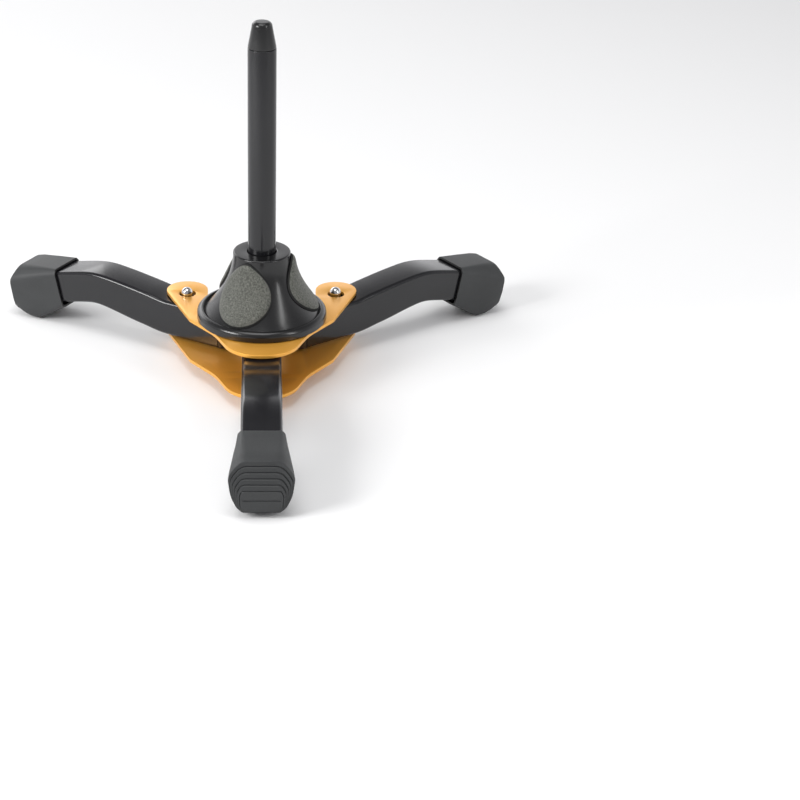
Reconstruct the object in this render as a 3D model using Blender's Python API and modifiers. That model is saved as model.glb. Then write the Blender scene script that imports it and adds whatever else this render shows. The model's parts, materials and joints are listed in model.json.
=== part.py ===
"""A folding trumpet stand: a peg and a padded bell cone, bolted over two pressed plates,
with one riveted leg and two legs that fold on rivets and lock with snap buttons.

Run it with blender --background --python part.py, or from the Text Editor.
Lengths below are in millimetres; MM turns them into Blender's metres.
"""

import math

import bmesh
import bpy
from mathutils import Matrix, Vector

MM = 0.001
GAP = 0.3  # left between two pieces that touch
ROUND = 32  # sides of the large turned pieces
SMALL_ROUND = 16  # sides of rivets, washers and buttons

# Plates: two copies of one pressed blank, with the legs between them.
PLATE_THICKNESS = 2.0
LOWER_PLATE_TOP = 10.4
LOBE_CENTRE = (43.5, 37.0)
LOBE_RADIUS = 12.0
PLATE_CORNER = (41.2, -3.8)
PLATE_WAIST = (26.5, -23.5)
FRONT_LOBE_Y = -30.0
FRONT_LOBE_RADIUS = 22.2
BACK_EDGE_Y = 27.0

# Legs: goose-neck rectangular tube, 22 mm wide.
LEG_WIDTH = 22.0
LEG_HEIGHT = 21.2
PRESSED_HEIGHT = 19.4  # height of the tube from the bend outwards
TUBE_WALL = 1.5
TUBE_CORNER = 2.2
LOWER_WASHER = 1.0
UPPER_WASHER = 0.4
LEG_ANGLE = 32.7  # of each folding leg from the stand's left-right line
LEG_PLAY = 1.4  # both folding legs stand this far round within their buttons' play
LEG_OFFSET = 3.0  # the folding legs' centrelines pass this far behind the peg
PIVOT_REACH = 30.5
BUTTON_REACH = 53.4
REAR_TUBE_START = 25.8
REAR_NOSE = 8.0
FRONT_TUBE_START = 11.5
FRONT_NOSE = 1.5
FRONT_RIVETS = (17.0, 29.0)
TUBE_END = 158.0
RISE_START = 61.0  # the tube is level up to here, inside the plates
# The goose-neck's centreline: reach, height over the level stretch, slope.
# Its first bend is set from the peg, and the others back from the tube's outer end.
NECK = (
    (78.0, 2.4, 0.14),
    (TUBE_END - 58.0, 5.9, 0.135),
    (TUBE_END - 47.0, 6.9, 0.0),
    (TUBE_END - 34.0, 5.0, -0.235),
    (TUBE_END + 7.0, -5.4, -0.27),
)

# Rivets, buttons and springs.
RIVET_RADIUS = 2.5
RIVET_HEAD_RADIUS = 3.8
RIVET_HEAD = 1.6
WASHER_RADIUS = 5.2
BUTTON_RADIUS = 3.4
BUTTON_PROUD = 4.0
BUTTON_HOLE_RADIUS = 5.0
BUTTON_COLLAR = 1.5
BUTTON_COLLAR_RADIUS = 4.6
BUTTON_PIN_RADIUS = 1.6
BUTTON_PIN = 5.5
CUP_RADIUS = 6.0
CUP_WALL = 0.9
CUP_HEIGHT = 12.0
SPRING_WIRE = 0.9
SPRING_RADIUS = 3.2
SPRING_TURNS = 4.5
SPRING_STEPS = 10  # points in each turn

# Centre bolt, washer and spacer.
BOLT_RADIUS = 4.0
BOLT_HEAD = 4.6
BOLT_HEAD_RADIUS = 7.4
BOLT_WASHER = 1.2
BOLT_WASHER_RADIUS = 9.5
SPACER_RADIUS = 6.5

# Bell cone. Its heights are over the upper plate.
CONE_HEIGHT = 40.5
CONE_TOP_RADIUS = 16.3
CONE_EDGE = 0.9
FLANGE_RADIUS = 37.0
FLANGE_HEIGHT = 5.7
RIM_WIDTH = 3.6
RIM_ROUND = 3.0  # of the outer edge
RIM_SLOPE = 0.5  # how far the rim's inner side leans
DISH_DEPTH = 1.5
CONE_WALL = 2.0
CONE_FLARE = 2.0  # exponent of the concave side
SOCKET_HEIGHT = 13.5
SOCKET_WALL = 2.0

# Pads on the cone.
PAD_ANGLES = (241.0, 1.0, 121.0)
PAD_TOP_DROP = 1.9  # below the cone's top
PAD_BOTTOM_LIFT = 0.6  # over the cone's dish
PAD_HALF_WIDTH = 17.8
PAD_THICKNESS = 2.4

# Peg.
PEG_RADIUS = 7.9
PEG_WALL = 1.2
PEG_CLEARANCE = 0.4
PEG_OVER_CONE = 119.2
TIP_HEIGHT = 14.7
TIP_RADIUS = 5.6
TIP_STEM = 12.0
INSERT_LENGTH = 20.0

# Boots. Each section: how far past the tube's end its top lies, and how high over the
# pressed tube's level top; how far past the end its bottom lies, and how high over the
# floor; how far its top, the ridge of its sides and its bottom stand outside the tube's
# width; how far the ridge lies below the top and beyond it; and the corner radius.
BOOT_SECTIONS = (
    (-18.4, 3.3, -24.0, 12.0, -0.3, 1.6, 1.4, 2.4, 0.0, 1.4),
    (-11.0, 2.5, -10.5, 3.4, -0.3, 2.7, 1.4, 3.6, 0.0, 1.8),
    (-5.5, 1.9, -5.2, 0.0, -0.3, 3.8, 1.4, 4.6, 0.3, 2.2),
    (0.0, 1.2, 0.5, 0.0, -0.3, 4.9, 1.4, 5.7, 0.9, 2.4),
    (4.6, 0.7, 5.0, 1.2, -0.3, 5.9, 1.2, 6.7, 1.6, 2.6),
    (8.4, -0.2, 9.0, 3.2, -0.3, 6.8, 1.0, 7.6, 2.4, 2.8),
    (14.0, -14.9, 12.2, 4.2, -0.8, 0.4, -0.6, 3.4, 0.2, 1.4),
)
BOOT_MOUTH_WALL = -0.9  # the mouth's bottom over the pressed tube's level underside
BOOT_ROUNDING = 0.38  # of the shorter side at a corner, where that is more than its radius
BOOT_FLANK = (0.42, 0.72)  # the side's fourth corner: its shares of the ridge's height and width

# Derived heights.
UPPER_PLATE_BOTTOM = LOWER_PLATE_TOP + LEG_HEIGHT + LOWER_WASHER + UPPER_WASHER + 4 * GAP
UPPER_PLATE_TOP = UPPER_PLATE_BOTTOM + PLATE_THICKNESS
LOWER_PLATE_BOTTOM = LOWER_PLATE_TOP - PLATE_THICKNESS
LEG_BOTTOM = LOWER_PLATE_TOP + LOWER_WASHER + 2 * GAP
LEG_TOP = LEG_BOTTOM + LEG_HEIGHT
LEG_MIDDLE = LEG_BOTTOM + LEG_HEIGHT / 2
CONE_BOTTOM = UPPER_PLATE_TOP + GAP
INNER_LEG_TOP = LEG_TOP - TUBE_WALL
INNER_LEG_BOTTOM = LEG_BOTTOM + TUBE_WALL
DISH_RADIUS = FLANGE_RADIUS - RIM_WIDTH - RIM_SLOPE
CONE_TOP = CONE_BOTTOM + CONE_HEIGHT
FLANGE_TOP = CONE_BOTTOM + FLANGE_HEIGHT
SOCKET_FLOOR = CONE_BOTTOM + SOCKET_HEIGHT
DISH_HEIGHT = FLANGE_TOP - DISH_DEPTH
PAD_TOP = CONE_TOP - PAD_TOP_DROP
PAD_BOTTOM = DISH_HEIGHT + PAD_BOTTOM_LIFT
PEG_TOP = CONE_TOP + PEG_OVER_CONE
TIP_TOP = PEG_TOP + TIP_HEIGHT


def boot_measures(index):
    """One boot section's measures from the peg, the floor and the leg's centre plane."""
    top_past, top_over, bottom_past, bottom_z, top_out, ridge_out, bottom_out, drop, out, radius = BOOT_SECTIONS[index]
    if index == 0:
        bottom_z = LEG_MIDDLE - PRESSED_HEIGHT / 2 + BOOT_MOUTH_WALL
    half = LEG_WIDTH / 2
    tops = (TUBE_END + top_past, LEG_MIDDLE + PRESSED_HEIGHT / 2 + top_over, TUBE_END + bottom_past, bottom_z)
    return (*tops, half + top_out, half + ridge_out, half + bottom_out, drop, out, radius)


BOOT_MEASURES = [boot_measures(index) for index in range(len(BOOT_SECTIONS))]


def rotation(degrees):
    return Matrix.Rotation(math.radians(degrees), 4, "Z")


def arc(centre, radius, start, end, steps):
    """Points of a circular arc, in plan or in profile, from one angle in degrees to another."""
    angles = [math.radians(start + (end - start) * i / steps) for i in range(steps + 1)]
    return [(centre[0] + radius * math.cos(a), centre[1] + radius * math.sin(a)) for a in angles]


def fillet(before, corner, after, radius, steps):
    """The arc that rounds one corner of an outline."""
    corner = Vector(corner)
    to_before = (Vector(before) - corner).normalized()
    to_after = (Vector(after) - corner).normalized()
    half = to_before.angle(to_after) / 2
    start = corner + to_before * radius / math.tan(half)
    centre = corner + (to_before + to_after).normalized() * radius / math.sin(half)
    turn = (start - centre).angle_signed(corner + to_after * radius / math.tan(half) - centre)
    points = []
    for i in range(steps + 1):
        offset = (start - centre).copy()
        offset.rotate(Matrix.Rotation(-turn * i / steps, 2))
        points.append(tuple(centre + offset))
    return points


def clear_scene():
    for obj in list(bpy.data.objects):
        bpy.data.objects.remove(obj, do_unlink=True)


def collection(name):
    made = bpy.data.collections.new(name)
    bpy.context.scene.collection.children.link(made)
    return made


def material(name, colour, roughness, metallic=0.0):
    made = bpy.data.materials.new(name)
    made.use_nodes = True
    shader = made.node_tree.nodes["Principled BSDF"]
    shader.inputs["Base Color"].default_value = (*colour, 1.0)
    shader.inputs["Roughness"].default_value = roughness
    shader.inputs["Metallic"].default_value = metallic
    made.diffuse_color = (*colour, 1.0)
    return made


clear_scene()
STAND = collection("trumpet_stand")
CUTTERS = collection("cutters")
GOLD = material("gold_plate", (0.78, 0.47, 0.12), 0.28, 1.0)
BLACK_STEEL = material("black_painted_steel", (0.02, 0.02, 0.023), 0.35)
BLACK_PLASTIC = material("black_plastic", (0.018, 0.018, 0.02), 0.3)
RUBBER = material("grey_rubber", (0.06, 0.062, 0.065), 0.75)
FOAM = material("grey_foam", (0.12, 0.12, 0.11), 0.95)
CHROME = material("chrome", (0.8, 0.8, 0.82), 0.08, 1.0)
ZINC = material("zinc_steel", (0.55, 0.55, 0.57), 0.35, 1.0)


def empty(name, matrix, parent=None):
    made = bpy.data.objects.new(name, None)
    STAND.objects.link(made)
    made.parent = parent
    made.matrix_local = matrix
    return made


def place(obj, shade, parent):
    """Puts a finished object in the stand's collection, under the empty that it moves with."""
    STAND.objects.link(obj)
    obj.parent = parent
    obj.data.materials.append(shade)
    if obj.type == "MESH":
        obj.data.shade_smooth()
        obj.data.set_sharp_from_angle(angle=math.radians(35))
    return obj


def hide_cutter(obj, parent):
    CUTTERS.objects.link(obj)
    obj.parent = parent
    obj.hide_render = True
    obj.display_type = "WIRE"
    return obj


def boolean(obj, operation, other):
    modifier = obj.modifiers.new(f"{operation.lower()}_{other.name}", "BOOLEAN")
    modifier.operation = operation
    modifier.object = other
    modifier.solver = "EXACT"


def turned(name, profile, shade, parent, sides, closed=False, at=(0.0, 0.0)):
    """A turned piece: the profile, in radius and height, runs down its outer side."""
    mesh = bpy.data.meshes.new(name)
    points = [(r * MM, 0.0, z * MM) for r, z in profile]
    edges = [(i, i + 1) for i in range(len(points) - 1)]
    if closed:
        edges.append((len(points) - 1, 0))
    mesh.from_pydata(points, edges, [])
    obj = bpy.data.objects.new(name, mesh)
    screw = obj.modifiers.new("turn", "SCREW")
    screw.steps = screw.render_steps = sides
    screw.use_merge_vertices = True
    screw.merge_threshold = 0.00001
    screw.use_smooth_shade = True
    obj.location = (at[0] * MM, at[1] * MM, 0.0)
    if shade is None:
        return hide_cutter(obj, parent)
    return place(obj, shade, parent)


def ring(name, inner, outer, bottom, top, shade, parent, at=(0.0, 0.0)):
    profile = [(inner, top), (outer, top), (outer, bottom), (inner, bottom)]
    return turned(name, profile, shade, parent, SMALL_ROUND, closed=True, at=at)


def hole_cutter(name, radius, bottom, top, parent, at=(0.0, 0.0)):
    profile = [(0.0, top), (radius, top), (radius, bottom), (0.0, bottom)]
    return turned(name, profile, None, parent, SMALL_ROUND, at=at)


def loft(name, sections, looped=False):
    """A mesh skinned over sections of equal point count; a looped one has no end caps."""
    mesh = bpy.data.meshes.new(name)
    bm = bmesh.new()
    loops = [[bm.verts.new(Vector(point) * MM) for point in section] for section in sections]
    pairs = list(zip(loops, loops[1:]))
    if looped:
        pairs.append((loops[-1], loops[0]))
    else:
        bm.faces.new(reversed(loops[0]))
        bm.faces.new(loops[-1])
    for first, second in pairs:
        for i in range(len(first)):
            j = (i + 1) % len(first)
            bm.faces.new((first[i], first[j], second[j], second[i]))
    bmesh.ops.recalc_face_normals(bm, faces=bm.faces)
    bm.to_mesh(mesh)
    bm.free()
    return mesh


def flat_curve(name, outlines, bottom, top):
    """A flat piece from 2D outlines, the first outside and the rest holes."""
    curve = bpy.data.curves.new(name, "CURVE")
    curve.dimensions = "2D"
    curve.fill_mode = "BOTH"
    curve.extrude = (top - bottom) / 2 * MM
    for outline in outlines:
        spline = curve.splines.new("POLY")
        spline.points.add(len(outline) - 1)
        for point, (x, y) in zip(spline.points, outline):
            point.co = (x * MM, y * MM, 0.0, 1.0)
        spline.use_cyclic_u = True
    obj = bpy.data.objects.new(name, curve)
    obj.location = (0.0, 0.0, (top + bottom) / 2 * MM)
    return obj


def mesh_from_curve(obj, name):
    """The welded mesh of a curve object, which takes Booleans; the curve is removed."""
    STAND.objects.link(obj)
    bpy.context.view_layer.update()
    evaluated = obj.evaluated_get(bpy.context.evaluated_depsgraph_get())
    mesh = bpy.data.meshes.new_from_object(evaluated)
    matrix = obj.matrix_world.copy()
    bpy.data.objects.remove(obj, do_unlink=True)
    bm = bmesh.new()
    bm.from_mesh(mesh)
    bmesh.ops.remove_doubles(bm, verts=bm.verts, dist=0.00001)
    bmesh.ops.transform(bm, matrix=matrix, verts=bm.verts)
    bmesh.ops.recalc_face_normals(bm, faces=bm.faces)
    bm.to_mesh(mesh)
    bm.free()
    return bpy.data.objects.new(name, mesh)


# Legs -----------------------------------------------------------------------


def neck_height(reach):
    """Height of the tube's centreline and its slope, at a distance from the peg."""
    keys = ((RISE_START, 0.0, 0.0), *NECK)
    if reach <= RISE_START:
        return LEG_MIDDLE, 0.0
    for (x0, z0, m0), (x1, z1, m1) in zip(keys, keys[1:]):
        if reach <= x1:
            break
    span = x1 - x0
    t = (reach - x0) / span
    height = (
        z0 * (2 * t**3 - 3 * t**2 + 1)
        + m0 * span * (t**3 - 2 * t**2 + t)
        + z1 * (3 * t**2 - 2 * t**3)
        + m1 * span * (t**3 - t**2)
    )
    slope = (
        (z1 - z0) / span * (6 * t - 6 * t**2)
        + m0 * (3 * t**2 - 4 * t + 1)
        + m1 * (3 * t**2 - 2 * t)
    )
    return LEG_MIDDLE + height, slope


def tube_height(reach):
    """The tube's own height: pressed lower at the bend, and so from there outwards."""
    bend_start, bend_end = NECK[0][0], NECK[2][0]
    t = min(max((reach - bend_start) / (bend_end - bend_start), 0.0), 1.0)
    return LEG_HEIGHT + (PRESSED_HEIGHT - LEG_HEIGHT) * t * t * (3 - 2 * t)


def tube_section(reach, grow, pivot_reach):
    """The tube's rounded section at one reach, grown by a margin, square to its centreline."""
    middle, slope = neck_height(reach)
    half_width = LEG_WIDTH / 2 + grow
    half_height = tube_height(reach) / 2 + grow
    corner = max(TUBE_CORNER + grow, 0.4)
    along = Vector((1.0, 0.0, slope)).normalized()
    up = Vector((-along.z, 0.0, along.x))
    points = []
    for sign_y, sign_z, start in ((1, 1, 0), (-1, 1, 90), (-1, -1, 180), (1, -1, 270)):
        centre = (sign_y * (half_width - corner), sign_z * (half_height - corner))
        for y, z in arc(centre, corner, start, start + 90, 2):
            point = Vector((reach - pivot_reach, y, middle)) + up * z
            points.append(tuple(point))
    return points


def tube_reaches(start, end):
    """Where the tube's sections stand: sparse where it is level, close along the neck."""
    steps = round((end - RISE_START) / 6.5)
    return [start] + [RISE_START + (end - RISE_START) * i / steps for i in range(steps + 1)]


def leg_tube(name, start, pivot_reach, holes, parent):
    reaches = tube_reaches(start, TUBE_END)
    outer = [tube_section(reach, 0.0, pivot_reach) for reach in reaches]
    inner = [tube_section(reach, -TUBE_WALL, pivot_reach) for reach in reversed(reaches)]
    tube = bpy.data.objects.new(name, loft(name, outer + inner, looped=True))
    place(tube, BLACK_STEEL, parent)
    for i, (reach, radius, bottom, top) in enumerate(holes):
        cutter = hole_cutter(f"{name}_hole_{i}", radius, bottom, top, parent, at=(reach - pivot_reach, 0.0))
        boolean(tube, "DIFFERENCE", cutter)
    return tube


def leg_plug(name, start, nose, pivot_reach, hole_reach, parent):
    """The moulded plug of the tube's inner end: a block in the tube and a rounded nose outside it."""
    half_width = LEG_WIDTH / 2
    radius = min(nose, half_width)
    block_height = LEG_HEIGHT - 2 * TUBE_WALL - 2 * GAP
    block_width = LEG_WIDTH - 2 * TUBE_WALL - 2 * GAP
    block_end = hole_reach + RIVET_RADIUS + 3.0
    x0 = start - GAP - nose - pivot_reach
    x1 = start - GAP - pivot_reach
    outline = [(x1, -half_width), (x1, half_width)]
    outline += arc((x0 + radius, half_width - radius), radius, 90, 180, 6)
    outline += arc((x0 + radius, -half_width + radius), radius, 180, 270, 6)
    nose_curve = flat_curve(f"{name}_nose", [outline], LEG_BOTTOM + 0.4, LEG_TOP - 0.4)
    plug = mesh_from_curve(nose_curve, name)
    bm = bmesh.new()
    bmesh.ops.create_cube(bm, size=1.0)
    length = block_end - start + GAP + 1.0
    bmesh.ops.scale(bm, vec=Vector((length, block_width, block_height)) * MM, verts=bm.verts)
    centre = Vector((block_end - pivot_reach - length / 2, 0.0, LEG_MIDDLE))
    bmesh.ops.translate(bm, vec=centre * MM, verts=bm.verts)
    mesh = bpy.data.meshes.new(f"{name}_block")
    bm.to_mesh(mesh)
    bm.free()
    block = hide_cutter(bpy.data.objects.new(f"{name}_block", mesh), parent)
    place(plug, BLACK_PLASTIC, parent)
    boolean(plug, "UNION", block)
    cutter = hole_cutter(
        f"{name}_hole", RIVET_RADIUS + GAP, LEG_BOTTOM - 2, LEG_TOP + 2, parent, at=(hole_reach - pivot_reach, 0.0)
    )
    boolean(plug, "DIFFERENCE", cutter)
    return plug


def boot_section(section, pivot_reach):
    """One eight-cornered section of a boot, with rounded corners and a ridge along each side."""
    top_reach, top_z, bottom_reach, bottom_z, top_half, ridge_half, bottom_half, drop, out, radius = section
    ridge_z = top_z - drop
    flank_z = bottom_z + (ridge_z - bottom_z) * BOOT_FLANK[0]
    flank_half = bottom_half + (ridge_half - bottom_half) * BOOT_FLANK[1]
    side = [(bottom_half, bottom_z), (flank_half, flank_z), (ridge_half, ridge_z), (top_half, top_z)]
    corners = side + [(-y, z) for y, z in reversed(side)]
    points = []
    for i, corner in enumerate(corners):
        before, after = corners[i - 1], corners[(i + 1) % len(corners)]
        to_before, to_after = Vector(before) - Vector(corner), Vector(after) - Vector(corner)
        soft = BOOT_ROUNDING * min(to_before.length, to_after.length) * math.tan(to_before.angle(to_after) / 2)
        for y, z in fillet(before, corner, after, max(radius, soft), 2):
            share = (z - bottom_z) / (top_z - bottom_z)
            bulge = out * min((z - bottom_z) / (ridge_z - bottom_z), (top_z - z) / drop, 1.0)
            reach = bottom_reach + (top_reach - bottom_reach) * share + bulge
            points.append((reach - pivot_reach, y, z))
    return points


def boot(name, pivot_reach, parent):
    sections = [boot_section(section, pivot_reach) for section in BOOT_MEASURES]
    obj = bpy.data.objects.new(name, loft(name, sections))
    place(obj, RUBBER, parent)
    pocket_start = BOOT_MEASURES[0][2] - 12.0
    steps = 8
    reaches = [pocket_start + (TUBE_END + GAP - pocket_start) * i / steps for i in range(steps + 1)]
    pocket = loft(f"{name}_pocket", [tube_section(reach, GAP, pivot_reach) for reach in reaches])
    cutter = hide_cutter(bpy.data.objects.new(f"{name}_pocket", pocket), parent)
    boolean(obj, "DIFFERENCE", cutter)
    return obj


# Fasteners ------------------------------------------------------------------


def rivet(name, parent, at=(0.0, 0.0)):
    """A domed rivet through both plates and the leg between them."""
    top, bottom = UPPER_PLATE_TOP + GAP, LOWER_PLATE_BOTTOM - GAP
    dome = arc((RIVET_HEAD_RADIUS - RIVET_HEAD, top), RIVET_HEAD, 90, 0, 3)
    foot = arc((RIVET_HEAD_RADIUS - RIVET_HEAD, bottom), RIVET_HEAD, 0, -90, 3)
    profile = [(0.0, top + RIVET_HEAD), *dome, (RIVET_RADIUS, top), (RIVET_RADIUS, bottom)]
    profile += [*foot, (0.0, bottom - RIVET_HEAD)]
    return turned(name, profile, ZINC, parent, SMALL_ROUND, at=at)


def rivet_washers(name, parent, at=(0.0, 0.0)):
    """The two washers that pack the leg between the plates."""
    inner = RIVET_RADIUS + GAP
    bottom = LOWER_PLATE_TOP + GAP
    ring(f"{name}_lower_washer", inner, WASHER_RADIUS, bottom, bottom + LOWER_WASHER, ZINC, parent, at)
    top = UPPER_PLATE_BOTTOM - GAP
    ring(f"{name}_upper_washer", inner, WASHER_RADIUS, top - UPPER_WASHER, top, ZINC, parent, at)


def snap_button(side, parent):
    """A domed button in the leg's top wall, on a spring that stands in a cup."""
    x = BUTTON_REACH - PIVOT_REACH
    top = UPPER_PLATE_TOP + BUTTON_PROUD
    collar_top = INNER_LEG_TOP - GAP
    collar_bottom = collar_top - BUTTON_COLLAR
    dome = arc((0.0, top - BUTTON_RADIUS), BUTTON_RADIUS, 90, 0, 6)
    profile = [*dome, (BUTTON_RADIUS, collar_top), (BUTTON_COLLAR_RADIUS, collar_top)]
    profile += [(BUTTON_COLLAR_RADIUS, collar_bottom), (BUTTON_PIN_RADIUS, collar_bottom)]
    profile += [(BUTTON_PIN_RADIUS, collar_bottom - BUTTON_PIN), (0.0, collar_bottom - BUTTON_PIN)]
    profile[0] = (0.0, top)
    turned(f"{side}_snap_button", profile, CHROME, parent, SMALL_ROUND, at=(x, 0.0))

    cup_bottom = INNER_LEG_BOTTOM + GAP
    cup_top = cup_bottom + CUP_HEIGHT
    inside = CUP_RADIUS - CUP_WALL
    cup = [(0.0, cup_bottom + CUP_WALL), (inside, cup_bottom + CUP_WALL), (inside, cup_top)]
    cup += [(CUP_RADIUS, cup_top), (CUP_RADIUS, cup_bottom), (0.0, cup_bottom)]
    turned(f"{side}_button_cup", cup, BLACK_PLASTIC, parent, SMALL_ROUND, at=(x, 0.0))

    curve = bpy.data.curves.new(f"{side}_button_spring", "CURVE")
    curve.dimensions = "3D"
    curve.bevel_depth = SPRING_WIRE / 2 * MM
    curve.bevel_resolution = 1
    curve.use_fill_caps = True
    low = cup_bottom + CUP_WALL + GAP + SPRING_WIRE / 2
    high = collar_bottom - GAP - SPRING_WIRE / 2
    count = round(SPRING_TURNS * SPRING_STEPS)
    spline = curve.splines.new("POLY")
    spline.points.add(count)
    for i, point in enumerate(spline.points):
        turn = 2 * math.pi * i / SPRING_STEPS
        point.co = (
            SPRING_RADIUS * math.cos(turn) * MM,
            SPRING_RADIUS * math.sin(turn) * MM,
            (low + (high - low) * i / count) * MM,
            1.0,
        )
    spring = bpy.data.objects.new(f"{side}_button_spring", curve)
    spring.location = (x * MM, 0.0, 0.0)
    place(spring, ZINC, parent)


# Stand ----------------------------------------------------------------------


def pivot_point(sign):
    """Plan position of a folding leg's rivet; sign is 1 on the right and -1 on the left."""
    angle = math.radians(LEG_ANGLE)
    x = PIVOT_REACH * math.cos(angle) - LEG_OFFSET * math.sin(angle)
    y = PIVOT_REACH * math.sin(angle) + LEG_OFFSET * math.cos(angle)
    return sign * x, y


def button_hole(sign):
    x, y = pivot_point(sign)
    angle = math.radians(LEG_ANGLE)
    reach = BUTTON_REACH - PIVOT_REACH
    return x + sign * reach * math.cos(angle), y + reach * math.sin(angle)


def plate_outline():
    """The blank's outline, anticlockwise from the middle of its back edge to the front and round."""
    neck_x = LOBE_CENTRE[0] - LOBE_RADIUS
    leave = -math.degrees(math.atan2(LOBE_CENTRE[0] + LOBE_RADIUS - PLATE_CORNER[0], 44.0))
    lobe = arc(LOBE_CENTRE, LOBE_RADIUS, 180, leave, 14)
    front = arc((0.0, FRONT_LOBE_Y), FRONT_LOBE_RADIUS, -18, -90, 12)
    half = arc((neck_x - 4.0, BACK_EDGE_Y + 4.0), 4.0, -90, 0, 4)
    half += lobe
    half += fillet(lobe[-1], PLATE_CORNER, PLATE_WAIST, 4.0, 4)
    half += fillet(PLATE_CORNER, PLATE_WAIST, front[0], 40.0, 4)
    half += front
    return half + [(-x, y) for x, y in reversed(half[:-1])]


def plate(name, top, with_button_holes, parent):
    holes = [(point, RIVET_RADIUS + GAP) for point in (pivot_point(1), pivot_point(-1))]
    holes += [((0.0, -reach), RIVET_RADIUS + GAP) for reach in FRONT_RIVETS]
    holes.append(((0.0, 0.0), BOLT_RADIUS + GAP))
    if with_button_holes:
        holes += [(button_hole(sign), BUTTON_HOLE_RADIUS) for sign in (1, -1)]
    outlines = [plate_outline()]
    outlines += [arc(centre, radius, 0, 337.5, 15) for centre, radius in holes]
    curve = flat_curve(f"{name}_outline", outlines, top - PLATE_THICKNESS, top)
    return place(mesh_from_curve(curve, name), GOLD, parent)


def cone_radius(z):
    """The cone's outer radius along its concave side."""
    t = (z - DISH_HEIGHT) / (CONE_TOP - CONE_EDGE - DISH_HEIGHT)
    return CONE_TOP_RADIUS + (DISH_RADIUS - CONE_TOP_RADIUS) * (1 - t) ** CONE_FLARE


def bell_cone(parent):
    side_top = CONE_TOP - CONE_EDGE
    steps = 9
    heights = [side_top - (side_top - DISH_HEIGHT) * (i / steps) for i in range(1, steps + 1)]
    profile = [(PEG_RADIUS + PEG_CLEARANCE, CONE_TOP)]
    profile += arc((CONE_TOP_RADIUS - CONE_EDGE, side_top), CONE_EDGE, 90, 0, 4)
    profile += [(cone_radius(z), z) for z in heights]
    rim_inner = FLANGE_RADIUS - RIM_WIDTH
    profile += [(rim_inner, FLANGE_TOP)]
    profile += arc((FLANGE_RADIUS - RIM_ROUND, FLANGE_TOP - RIM_ROUND), RIM_ROUND, 90, 0, 4)
    profile += [(FLANGE_RADIUS, CONE_BOTTOM), (FLANGE_RADIUS - CONE_WALL, CONE_BOTTOM)]
    profile += [(FLANGE_RADIUS - CONE_WALL, DISH_HEIGHT - CONE_WALL)]
    inner = [(cone_radius(z) - CONE_WALL, z - CONE_WALL / 2) for z in reversed(heights[2:-1])]
    column = PEG_RADIUS + PEG_CLEARANCE + SOCKET_WALL
    profile += [(DISH_RADIUS - CONE_WALL, DISH_HEIGHT - CONE_WALL), *inner]
    ceiling = inner[-1][1] + CONE_WALL
    profile += [(column, ceiling), (column, CONE_BOTTOM)]
    bolt_hole = BOLT_RADIUS + GAP
    profile += [(bolt_hole, CONE_BOTTOM), (bolt_hole, SOCKET_FLOOR)]
    profile += [(PEG_RADIUS + PEG_CLEARANCE, SOCKET_FLOOR)]
    return turned("bell_cone", profile, BLACK_PLASTIC, parent, ROUND, closed=True)


def pad(name, angle, parent):
    """A foam pad: a squashed sphere with an egg outline, bent round the cone's side."""
    mesh = bpy.data.meshes.new(name)
    bm = bmesh.new()
    bmesh.ops.create_uvsphere(bm, u_segments=22, v_segments=10, radius=1.0)
    for vert in bm.verts:
        across, along, out = vert.co
        distance = math.hypot(across, along)
        z = (PAD_TOP + PAD_BOTTOM) / 2 + (PAD_TOP - PAD_BOTTOM) / 2 * along
        taper = 1.0 - 0.36 * along - 0.12 * along * along
        half_angle = PAD_HALF_WIDTH / (cone_radius(z) + PAD_THICKNESS)
        turn = math.radians(angle) + across * taper * half_angle
        depth = GAP
        if out > 0:
            depth += PAD_THICKNESS * (1 - distance**8)
        slope = (cone_radius(z + 0.5) - cone_radius(z - 0.5)) if z < PAD_TOP - 0.6 else -0.1
        outward = Vector((1.0, -slope)).normalized() * (depth + 0.06)
        r = cone_radius(min(z, CONE_TOP - CONE_EDGE)) + outward.x
        vert.co = Vector((r * math.cos(turn), r * math.sin(turn), z + outward.y)) * MM
    bm.to_mesh(mesh)
    bm.free()
    return place(bpy.data.objects.new(name, mesh), FOAM, parent)


def peg(parent):
    inner = PEG_RADIUS - PEG_WALL
    bottom = SOCKET_FLOOR + GAP
    tube = [(inner, PEG_TOP), (PEG_RADIUS, PEG_TOP), (PEG_RADIUS, bottom), (inner, bottom)]
    turned("peg_tube", tube, BLACK_STEEL, parent, ROUND, closed=True)

    insert_outer = inner - GAP
    hole = BOLT_RADIUS + GAP
    low = bottom + GAP
    high = low + INSERT_LENGTH
    insert = [(hole, high), (insert_outer, high), (insert_outer, low), (hole, low)]
    turned("peg_threaded_insert", insert, ZINC, parent, SMALL_ROUND, closed=True)

    nose = 2.4
    tip = [(0.0, TIP_TOP), *arc((TIP_RADIUS - nose, TIP_TOP - nose), nose, 90, 0, 5)]
    tip += [(PEG_RADIUS, PEG_TOP + GAP), (insert_outer, PEG_TOP + GAP)]
    tip += [(insert_outer, PEG_TOP - TIP_STEM), (0.0, PEG_TOP - TIP_STEM)]
    turned("peg_tip", tip, BLACK_PLASTIC, parent, ROUND)


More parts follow.
